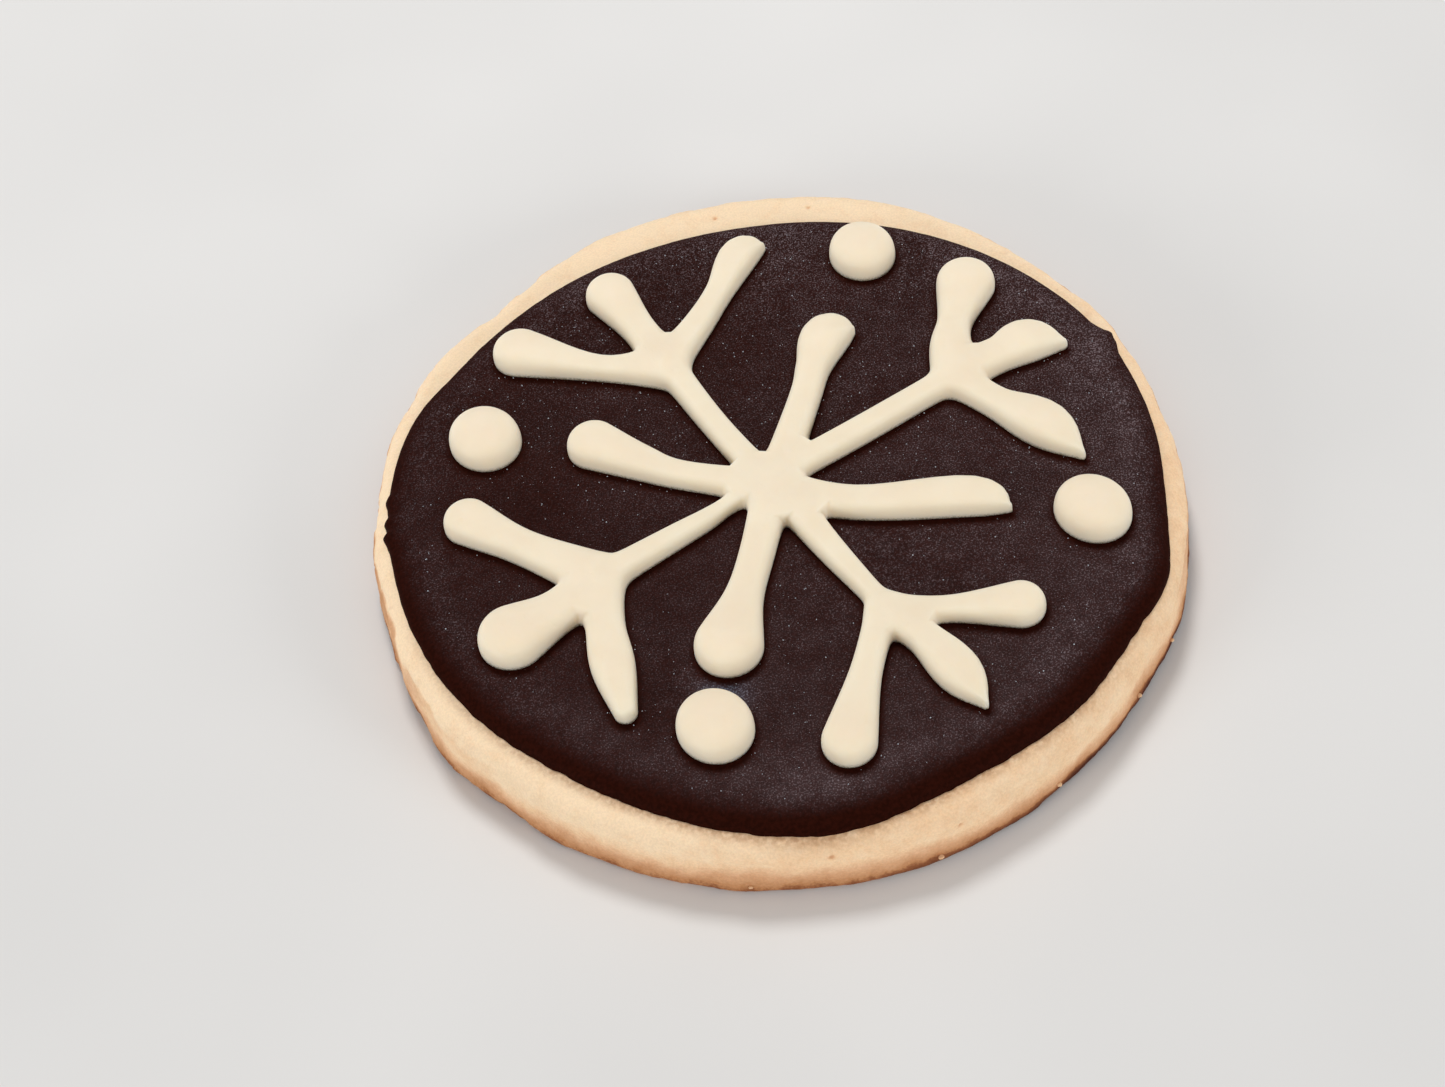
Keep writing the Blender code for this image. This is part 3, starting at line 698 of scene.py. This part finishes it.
def dot_field(points, name):
    x, y, radius, stretch, way = DOTS[name]
    long_way = way_at(way)
    along = (points - (x, y)) @ long_way
    across = (points - (x, y)) @ (-long_way[1], long_way[0])
    return radius - np.hypot(along / stretch, across), np.full(len(points), radius)


def white_inside(points):
    """Distance inside the edge of any of the piped icing."""
    fields = [snowflake_field(points)[0]] + [dot_field(points, name)[0] for name in DOTS]
    return np.max(fields, axis=0)


def white_floor(points):
    return dark_top(points) - WHITE_SINK


def white_height(width):
    own = WHITE_HEIGHT_AT_NECK + WHITE_HEIGHT_PER_WIDTH * (width - NECK_HALF_WIDTH)
    return own + SOLID_GAP + WHITE_SINK


def white_relief(points, inside):
    """Low swells of the piped top, and the small marks in it."""
    swells = rough(points, WHITE_SWELL_SIZE, SEED + 9, 2) - WHITE_SWELL_DROP
    rise = WHITE_SWELL_DEPTH * swells * smooth_step(*WHITE_SWELL_INSETS, inside)
    for x, y, radius, depth in WHITE_MARKS:
        gap = np.hypot(points[:, 0] - x, points[:, 1] - y)
        rise -= depth * np.exp(-((gap / radius) ** 2))
    return rise


def trace(field, low, high):
    """Walks round the field's zero level by marching squares, and gives its longest closed loop."""
    xs = np.arange(low[0], high[0] + TRACE_CELL, TRACE_CELL)
    ys = np.arange(low[1], high[1] + TRACE_CELL, TRACE_CELL)
    grid = np.stack(np.meshgrid(xs, ys, indexing="ij"), axis=-1)
    inside = field(grid.reshape(-1, 2))[0].reshape(grid.shape[:2])
    onward = {}
    for i, j in np.ndindex(len(xs) - 1, len(ys) - 1):
        onward.update(crossings(inside, ((i, j), (i + 1, j), (i + 1, j + 1), (i, j + 1))))
    loops = []
    while onward:
        edge, after = onward.popitem()
        loops.append([edge])
        while after != edge:
            loops[-1].append(after)
            after = onward.pop(after)
    points = []
    for first, second in max(loops, key=len):
        share = inside[first] / (inside[first] - inside[second])
        points.append(grid[first] + share * (grid[second] - grid[first]))
    return np.array(points)


def crossings(inside, corners):
    """Pieces of the zero level in one cell: pairs of crossed cell edges, with the icing on the left."""
    ups = {}
    downs = {}
    for side in range(4):
        edge = corners[side], corners[(side + 1) % 4]
        signs = [inside[corner] > 0 for corner in edge]
        if signs[0] != signs[1]:
            (downs if signs[0] else ups)[side] = tuple(sorted(edge))
    return [(edge, ups[min(ups, key=lambda up: (up - side) % 4)]) for side, edge in downs.items()]


def settle(points, field, target):
    """Moves each point along the field's slope to the target distance inside the edge."""
    for _ in range(SETTLE_ROUNDS):
        value = field(points)[0]
        along_x = (field(points + (NUDGE, 0))[0] - value) / NUDGE
        along_y = (field(points + (0, NUDGE))[0] - value) / NUDGE
        slope = np.stack([along_x, along_y], axis=1)
        steep = np.maximum((slope**2).sum(axis=1), LEAST_SLOPE)
        points = points + ((target - value) / steep)[:, None] * slope
    return points


def thin_out(loop, longest):
    """Keeps points where the loop turns by SHARPEST, and one at least every `longest` along it."""
    run = np.roll(loop, -1, axis=0) - loop
    heading = np.arctan2(run[:, 1], run[:, 0])
    turn = np.abs((heading - np.roll(heading, 1) + np.pi) % (2 * np.pi) - np.pi)
    kept = []
    length = longest
    turned = 0.0
    for index, point in enumerate(loop):
        turned += turn[index]
        if length >= longest or (turned >= SHARPEST and length >= longest * SHORTEST_SHARE):
            kept.append(point)
            length = 0.0
            turned = 0.0
        length += np.hypot(*run[index])
    return np.array(kept)


def lattice(field, low, high, pitch, clear):
    """Points of a triangular lattice that lie at least `clear` inside the edge."""
    points = []
    for number, y in enumerate(np.arange(low[1], high[1], pitch * np.sqrt(3) / 2)):
        points.extend((x, y) for x in np.arange(low[0] + (number % 2) * pitch / 2, high[0], pitch))
    points = np.array(points)
    return points[field(points)[0] > clear]


def cap(outline, outline_start, inner, inner_start):
    """(new points, faces) across an outline; the faces number their points as the whole body does."""
    points = [tuple(point) for point in (*outline, *inner)]
    count = len(outline)
    edges = [(index, (index + 1) % count) for index in range(count)]
    inside_only = 1
    found, _, faces, origins, *_ = geometry.delaunay_2d_cdt(points, edges, [], inside_only, MERGE_DISTANCE)
    place = {origin: index for index, group in enumerate(origins) for origin in group}
    link = {place[index]: outline_start + index for index in range(count)}
    new = [index for index in range(len(found)) if index not in link]
    link.update({place: inner_start + index for index, place in enumerate(new)})
    return np.array([tuple(found[index]) for index in new]), [tuple(map(link.get, face)) for face in faces]


def icing_mesh(field, piping, low, high):
    """Shape of the piped icing inside the field's edge: a closed body with a rounded side."""
    loop = settle(trace(field, low, high), field, 0)
    loop = settle(thin_out(loop, piping.longest), field, 0)
    width = field(loop)[1]

    def top(points):
        inside, half = field(points)
        half = np.maximum(half, NARROWEST_ROUNDING)
        rise = white_height(half) * dome(inside, half, piping.fullness)
        return white_floor(points) + rise + white_relief(points, inside)

    rings = [loop]
    for turn in np.radians(SIDE_TURNS):
        inset = width * (1 - np.cos(turn) ** (2 / piping.fullness))
        rings.append(settle(rings[-1], field, inset))
    count = len(loop)
    points = [np.column_stack([loop, white_floor(loop)])]
    points.extend(np.column_stack([ring, top(ring)]) for ring in rings[1:])
    faces = ring_faces(len(rings), count)
    total = len(rings) * count
    pitch = piping.pitch
    for outline, start, spacing, clear, height, under in (
        (loop, 0, pitch * UNDERSIDE_COARSER, pitch * UNDERSIDE_CLEAR, white_floor, True),
        (rings[-1], total - count, pitch, inset.max() + pitch * TOP_CLEAR, top, False),
    ):
        flat, flat_faces = cap(outline, start, lattice(field, low, high, spacing, clear), total)
        points.append(np.column_stack([flat, height(flat)]))
        faces += turned_over(flat_faces) if under else flat_faces
        total += len(flat)
    points = np.concatenate(points)
    above = points[:, 2] - white_floor(points[:, :2]) - WHITE_SINK
    # The foot of the piped icing is painted with shade near the dark icing.
    return points, faces, {"painted_foot_shade": 1 - smooth_step(0, WHITE_FOOT_SHADE, above)}


def snowflake_mesh():
    stations = np.concatenate([np.array(line) for line in SNOWFLAKE_LINES.values()])
    reach = stations[:, 2].max() + 1
    low = stations[:, :2].min(axis=0) - reach
    high = stations[:, :2].max(axis=0) + reach
    return icing_mesh(snowflake_field, LINE_PIPING, low, high)


def dot_mesh(name):
    x, y, radius, stretch, _ = DOTS[name]
    reach = radius * stretch + 1
    low, high = (x - reach, y - reach), (x + reach, y + reach)
    return icing_mesh(lambda points: dot_field(points, name), DOT_PIPING, low, high)


# -------- sugar grains and lumps of dough


def grain_mesh():
    """Shape of the small crystals of sugar on the open dark icing, and the painted glint of each."""
    draw = np.random.default_rng(SEED + 20)
    spots = draw.uniform(-BISCUIT_RADIUS, BISCUIT_RADIUS, (GRAIN_COUNT * GRAIN_TRIES, 2))
    cluster = rough(spots, GRAIN_CLUSTER, SEED + 21, 2)
    cluster += draw.uniform(-GRAIN_SCATTER, GRAIN_SCATTER, len(spots))
    clustered = cluster > GRAIN_FROM - GRAINS_TO_FAR * spots[:, 1] / BISCUIT_RADIUS
    spots = spots[clustered & (dark_inside(spots) > GRAIN_CLEAR_OF_EDGE)]
    spots = spots[white_inside(spots) < -GRAIN_CLEAR_OF_WHITE][:GRAIN_COUNT]
    smallest, largest = GRAIN_SIZES
    bigness = draw.uniform(0, 1, len(spots)) ** GRAIN_RARITY
    size = smallest + (largest - smallest) * bigness
    painted_glint = np.clip(bigness * GLINT_BY_SIZE + draw.uniform(*GLINT_SPREAD, len(spots)), 0, 1)
    corners = np.array([(1, 0, 0), (-1, 0, 0), (0, 1, 0), (0, -1, 0), (0, 0, 1), (0, 0, -1)], float)
    upper = [(0, 2, 4), (2, 1, 4), (1, 3, 4), (3, 0, 4)]
    lower = [(2, 0, 5), (1, 2, 5), (3, 1, 5), (0, 3, 5)]
    turned = random_turns(draw, len(spots))
    shape = corners * draw.uniform(*GRAIN_SQUASH, (len(spots), 1, 3)) * (size / 2)[:, None, None]
    centres = np.column_stack([spots, dark_top(spots) + size * GRAIN_LIFT])
    points = shape @ turned + centres[:, None, :]
    faces = np.array(upper + lower) + (np.arange(len(spots)) * len(corners))[:, None, None]
    return points.reshape(-1, 3), faces.reshape(-1, 3).tolist(), {"painted_glint": np.repeat(painted_glint, len(corners))}


def random_turns(draw, count):
    """Rotation matrices spread evenly over all directions."""
    spin = draw.normal(size=(count, 4))
    w, x, y, z = (spin / np.linalg.norm(spin, axis=1)[:, None]).T
    rows = [
        (1 - 2 * (y * y + z * z), 2 * (x * y - w * z), 2 * (x * z + w * y)),
        (2 * (x * y + w * z), 1 - 2 * (x * x + z * z), 2 * (y * z - w * x)),
        (2 * (x * z - w * y), 2 * (y * z + w * x), 1 - 2 * (x * x + y * y)),
    ]
    return np.array(rows).transpose(2, 0, 1)


def lump_mesh():
    """Shape of the lumps of dough that stick out of the wall."""
    tilts = np.pi * np.arange(1, LUMP_RINGS) / LUMP_RINGS
    spins = np.radians(angles_round(LUMP_SIDES))
    tilt, spin = (grid.ravel() for grid in np.meshgrid(tilts, spins, indexing="ij"))
    ways = np.column_stack([np.sin(tilt) * np.cos(spin), np.sin(tilt) * np.sin(spin), np.cos(tilt)])
    poles = np.array([(0, 0, 1), (0, 0, -1)])
    ball = turned_over(ring_faces(len(tilts), LUMP_SIDES) + fan(0, LUMP_SIDES, len(ways)))
    ball += fan(len(ways) - LUMP_SIDES, LUMP_SIDES, len(ways) + 1)
    points = []
    faces = []
    for number, (angle, height, size) in enumerate(LUMPS):
        radius = cut_radius(angle) - size * LUMP_SINK
        centre = np.array([*(way_at(angle) * radius), height])
        dented = 1 + DENT_DEPTH * rough(ways + number * DENTS_APART, DENT_SIZE, SEED + 30, 2)
        shape = np.concatenate([ways * dented[:, None], poles])
        points.append(centre + shape * size * LUMP_AXES)
        faces.extend([corner + number * len(shape) for corner in face] for face in ball)
    points = np.concatenate(points)
    return points, faces, {"bake": np.full(len(points), LUMP_BAKE), "stain_and_shade": np.zeros(len(points))}


# -------- materials


class Paint:
    """One material, whose nodes are added and linked in a line each."""

    def __init__(self, name):
        self.material = bpy.data.materials.new(name)
        self.material.use_nodes = True
        self.tree = self.material.node_tree
        self.shader = self.tree.nodes["Principled BSDF"]
        self.place = self.add("ShaderNodeTexCoord").outputs["Object"]

    def put(self, socket, value):
        if isinstance(value, bpy.types.NodeSocket):
            self.tree.links.new(value, socket)
        else:
            socket.default_value = value

    def add(self, kind, inputs=None, **settings):
        node = self.tree.nodes.new(kind)
        for name, value in settings.items():
            setattr(node, name, value)
        for name, value in (inputs or {}).items():
            self.put(node.inputs[name], value)
        return node

    def shade(self, **inputs):
        """Sets the surface shader's sockets, named with underscores for spaces."""
        for name, value in inputs.items():
            self.put(self.shader.inputs[name.replace("_", " ")], value)

    def noise(self, size, detail=2.0, roughness=0.5):
        """Noise from 0 to 1 that changes over about `size` millimetres."""
        inputs = {"Vector": self.place, "Scale": 1 / (size * MM), "Detail": detail, "Roughness": roughness}
        return self.add("ShaderNodeTexNoise", inputs).outputs["Fac"]

    def attribute(self, name):
        return self.add("ShaderNodeAttribute", attribute_name=name).outputs["Fac"]

    def fit(self, value, low, high, to_low=0.0, to_high=1.0):
        """The value carried from low..high to another range, and held inside it."""
        inputs = {"Value": value, "From Min": low, "From Max": high, "To Min": to_low, "To Max": to_high}
        return self.add("ShaderNodeMapRange", inputs, interpolation_type="SMOOTHSTEP").outputs["Result"]

    def math(self, operation, first, second):
        return self.add("ShaderNodeMath", {0: first, 1: second}, operation=operation).outputs[0]

    def mix(self, share, first, second, blend="MIX"):
        inputs = {"Factor": share, "A": first, "B": second}
        return self.add("ShaderNodeMix", inputs, data_type="RGBA", blend_type=blend).outputs["Result"]

    def ramp(self, value, *stops):
        """Colours that follow one another along the value, each stop being (value, colour)."""
        node = self.add("ShaderNodeValToRGB", {"Fac": self.math("MULTIPLY", value, 1 / stops[-1][0])})
        while len(node.color_ramp.elements) < len(stops):
            node.color_ramp.elements.new(0.5)
        for element, (place, shade) in zip(node.color_ramp.elements, stops):
            element.position = place / stops[-1][0]
            element.color = shade
        return node.outputs["Color"]

    def bump(self, height, depth, below=None):
        """A normal that stands for relief `depth` millimetres deep."""
        inputs = {"Height": height, "Distance": depth * MM, "Strength": 1.0}
        if below is not None:
            inputs["Normal"] = below
        return self.add("ShaderNodeBump", inputs).outputs["Normal"]


def colour(red, green, blue):
    """Linear colour of an sRGB one given from 0 to 255."""
    value = np.array([red, green, blue]) / 255
    linear = np.where(value <= 0.04045, value / 12.92, ((value + 0.055) / 1.055) ** 2.4)
    return (*linear, 1.0)


def dough_material():
    paint = Paint("baked_dough_crumb")
    bake = paint.attribute("bake")
    for noise, low, high, least, most in (
        (paint.noise(2.6, 3), 0.3, 0.7, -0.07, 0.07),
        (paint.noise(1.2, 4), 0.3, 0.7, -0.02, 0.06),
        (paint.noise(0.3, 2, 0.6), 0.32, 0.68, -0.03, 0.03),
    ):
        bake = paint.math("ADD", bake, paint.fit(noise, low, high, least, most))
    crust = paint.ramp(
        bake,
        (0.03, colour(250, 222, 186)),
        (0.28, colour(242, 205, 164)),
        (0.45, colour(231, 187, 147)),
        (0.62, colour(217, 167, 126)),
        (0.78, colour(204, 152, 110)),
        (0.92, colour(190, 134, 90)),
        (1.05, colour(144, 88, 54)),
        (1.4, colour(80, 38, 22)),
    )
    grain = paint.fit(paint.noise(0.22, 2, 0.65), 0.34, 0.66, 0.945, 1.03)
    crust = paint.mix(1.0, crust, grain, "MULTIPLY")
    # Stain beside the dark icing, partly painted shade of its rolled edge, in a patchy darker brown.
    patchy = paint.fit(paint.noise(0.5, 3), 0.25, 0.7, 0.35, 1.0)
    stain_and_shade = paint.math("MULTIPLY", paint.attribute("stain_and_shade"), patchy)
    stained_and_shaded = paint.mix(paint.math("MULTIPLY", stain_and_shade, 0.8), crust, colour(168, 122, 84))
    pores = paint.fit(paint.noise(0.45, 3, 0.6), 0.68, 0.8)
    paint.shade(
        Base_Color=paint.mix(paint.math("MULTIPLY", pores, 0.3), stained_and_shaded, colour(160, 114, 76)),
        Roughness=0.88,
        Specular_IOR_Level=0.2,
        Subsurface_Weight=0.12,
        Subsurface_Radius=(1.0, 0.6, 0.35),
        Subsurface_Scale=0.0012,
    )
    grit = paint.bump(paint.noise(0.3, 4, 0.6), 0.035)
    paint.shade(Normal=paint.bump(paint.noise(1.1, 3), 0.05, below=grit))
    return paint.material


def dark_material():
    paint = Paint("dark_sugar_icing")
    fine = paint.fit(paint.noise(0.17, 3, 0.7), 0.5, 0.72, 0.45, 4.5)
    cloud = paint.fit(paint.noise(2.2, 4, 0.6), 0.3, 0.7, 0.66, 1.34)
    uneven = paint.math("MULTIPLY", paint.math("SUBTRACT", fine, 1.0), paint.attribute("grit"))
    grain = paint.math("MULTIPLY", paint.math("ADD", uneven, 1.0), cloud)
    flooded = paint.mix(paint.fit(paint.noise(0.35, 3), 0.3, 0.7), colour(33, 9, 4), colour(44, 14, 7))
    # The frost colours are sugar and painted sheen; the bluish one is a painted reflection.
    crystals_and_sheen = paint.mix(paint.attribute("painted_reflection"), colour(121, 106, 109), colour(99, 105, 121))
    paint.shade(
        Base_Color=paint.mix(paint.math("MULTIPLY", grain, paint.attribute("frost_and_sheen")), flooded, crystals_and_sheen),
        Roughness=0.6,
        Specular_IOR_Level=0.015,
    )
    pebbled = paint.bump(paint.noise(0.2, 2, 0.6), 0.012)
    paint.shade(Normal=paint.bump(paint.noise(2.4, 2), 0.05, below=pebbled))
    return paint.material


def white_material():
    paint = Paint("white_sugar_icing")
    cloud = paint.fit(paint.noise(5.0, 3), 0.3, 0.7)
    sugar = paint.mix(cloud, colour(240, 223, 197), colour(243, 227, 202))
    uneven = paint.fit(paint.noise(0.2, 2), 0.4, 0.6, 0.2, 1.0)
    # Painted shade at the foot of the piped icing, in a greyish brown.
    shaded = paint.math("MULTIPLY", paint.attribute("painted_foot_shade"), uneven)
    paint.shade(
        Base_Color=paint.mix(shaded, sugar, colour(128, 116, 86)),
        Roughness=paint.fit(paint.noise(1.2, 3), 0.3, 0.7, 0.5, 0.62),
        Specular_IOR_Level=0.25,
        Subsurface_Weight=0.85,
        Subsurface_Radius=(1.0, 0.9, 0.75),
        Subsurface_Scale=0.0018,
    )
    pits = paint.fit(paint.noise(0.5, 3, 0.6), 0.3, 0.42)
    smooth = paint.bump(paint.noise(1.6, 3), 0.03)
    paint.shade(Normal=paint.bump(pits, 0.008, below=smooth))
    return paint.material


def grain_material():
    paint = Paint("sugar_sparkle")
    # Painted glint: brighter grains are coloured lighter and bluer.
    painted_glint = paint.attribute("painted_glint")
    paint.shade(
        Base_Color=paint.mix(painted_glint, colour(92, 80, 84), colour(192, 198, 206)),
        Roughness=0.35,
        Specular_IOR_Level=0.5,
    )
    return paint.material


def floor_material():
    paint = Paint("pale_table")
    tone = paint.fit(paint.noise(60, 2), 0.3, 0.7)
    paint.shade(Base_Color=paint.mix(tone, colour(222, 220, 217), colour(227, 225, 222)), Roughness=0.7)
    return paint.material


# -------- pieces


def add_object(name, data):
    added = bpy.data.objects.new(name, data)
    bpy.context.scene.collection.objects.link(added)
    return added


def add_piece(name, shape, finish, slot, *nodes):
    """A mesh piece in the frame, which rides on the cookie and stands for its nodes. The slot is not used.
    """
    points, faces, values = shape
    mesh = bpy.data.meshes.new(name)
    mesh.from_pydata(((points - solid_middle()) * MM).tolist(), [], faces)
    mesh.validate()
    mesh.shade_smooth()
    for key, row in values.items():
        mesh.attributes.new(key, "FLOAT", "POINT").data.foreach_set("value", row.astype(np.float32))
    mesh.materials.append(finish)
    piece = add_object(name, mesh)
    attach(piece, "root")
    if nodes:
        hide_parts(*nodes)
    return piece


def add_cookie():
    dough = dough_material()
    add_piece("biscuit_crumb", biscuit_mesh(), dough, "baked_dough", "biscuit")
    add_piece("wall_crumbs", lump_mesh(), dough, "baked_dough")
    add_piece("dark_flooding", dark_mesh(), dark_material(), "dark_sugar", "dark_icing")
    grains = add_piece("sugar_grains", grain_mesh(), grain_material(), "dark_sugar")
    grains.data.shade_flat()
    white = white_material()
    add_piece("piped_snowflake", snowflake_mesh(), white, "white_sugar", "snowflake")
    for name in DOTS:
        add_piece("piped_" + name, dot_mesh(name), white, "white_sugar", name)


# -------- table, light and camera

PICTURE_SIZE = (1445, 1087)
LENS = 50.0
SENSOR = 36.0
NEAREST_SEEN = 0.01
VIEW_ELEVATION = 51.615
VIEW_ROLL = -6.258
VIEW_DISTANCE = 203.85
AIM_POINT = (0.2825, -1.3383, 7.0)
AIM_PIXEL = (776.33, 491.60)

FLOOR_SIZE = 3.0
FILL_LIGHT = 0.47
FILL_COLOUR = (0.97, 0.98, 1.0, 1.0)
Lamp = namedtuple("Lamp", "azimuth elevation distance size power")
LAMPS = {
    "key": Lamp(352, 58, 0.7, 0.18, 2.15),
    "front_left": Lamp(236, 16, 1.1, 0.39, 3.95),
    "front_right": Lamp(124, 16, 1.1, 0.39, 3.95),
}


def add_table():
    mesh = bpy.data.meshes.new("table")
    half = FLOOR_SIZE / 2
    corners = [(-half, -half, 0), (half, -half, 0), (half, half, 0), (-half, half, 0)]
    mesh.from_pydata(corners, [], [(0, 1, 2, 3)])
    mesh.materials.append(floor_material())
    table = add_object("table", mesh)


def direction(azimuth, elevation):
    """Unit vector towards a place round the cookie: azimuth 0 is the far side, 90 the right."""
    turn = np.radians(azimuth)
    rise = np.radians(elevation)
    return np.array([np.sin(turn) * np.cos(rise), np.cos(turn) * np.cos(rise), np.sin(rise)])


def add_light():
    world = bpy.data.worlds.new("studio")
    world.use_nodes = True
    background = world.node_tree.nodes["Background"]
    background.inputs["Color"].default_value = FILL_COLOUR
    background.inputs["Strength"].default_value = FILL_LIGHT
    bpy.context.scene.world = world
    for name, setting in LAMPS.items():
        lamp = bpy.data.lights.new(name, "AREA")
        lamp.shape = "DISK"
        lamp.size = setting.size
        lamp.energy = setting.power
        away = direction(setting.azimuth, setting.elevation)
        light = add_object(name, lamp)
        towards = Matrix(np.column_stack(axes_at(away)).tolist()).to_4x4()
        light.matrix_world = Matrix.Translation((away * setting.distance).tolist()) @ towards


def axes_at(away):
    """Right, up and back of a lamp or camera that stands at `away` and looks at the origin."""
    right = np.cross((0, 0, 1), away)
    right = right / np.linalg.norm(right)
    return right, np.cross(away, right), away


def add_camera():
    """A camera whose picture has the aim point at the aim pixel."""
    focal = LENS / SENSOR * PICTURE_SIZE[0]
    away = direction(180, VIEW_ELEVATION)
    right, up, back = axes_at(away)
    level = np.stack([right, -up, -back])
    offset = np.array([*(np.array(AIM_PIXEL) - np.array(PICTURE_SIZE) / 2), focal])
    rows = aiming_turn(offset / np.linalg.norm(offset)) @ roll_turn(np.radians(VIEW_ROLL)) @ level
    camera = add_object("camera", bpy.data.cameras.new("camera"))
    camera.data.lens = LENS
    camera.data.sensor_width = SENSOR
    camera.data.clip_start = NEAREST_SEEN
    place = (np.array(AIM_POINT) + away * VIEW_DISTANCE - solid_middle()) * MM
    axes = np.column_stack([rows[0], -rows[1], -rows[2]])
    camera.matrix_world = Matrix.Translation(place.tolist()) @ Matrix(axes.tolist()).to_4x4()
    bpy.context.scene.camera = camera


def roll_turn(roll):
    return np.array([[np.cos(roll), -np.sin(roll), 0], [np.sin(roll), np.cos(roll), 0], [0, 0, 1]])


def aiming_turn(sight):
    """The turn that takes the picture's middle to the line of sight."""
    forward = np.array([0.0, 0.0, 1.0])
    axis = np.cross(forward, sight)
    crossed = np.array([[0, -axis[2], axis[1]], [axis[2], 0, -axis[0]], [-axis[1], axis[0], 0]])
    return np.eye(3) + crossed + crossed @ crossed / (1 + forward @ sight)


bpy.context.scene.view_settings.view_transform = "Standard"
add_cookie()
add_table()
add_light()
add_camera()
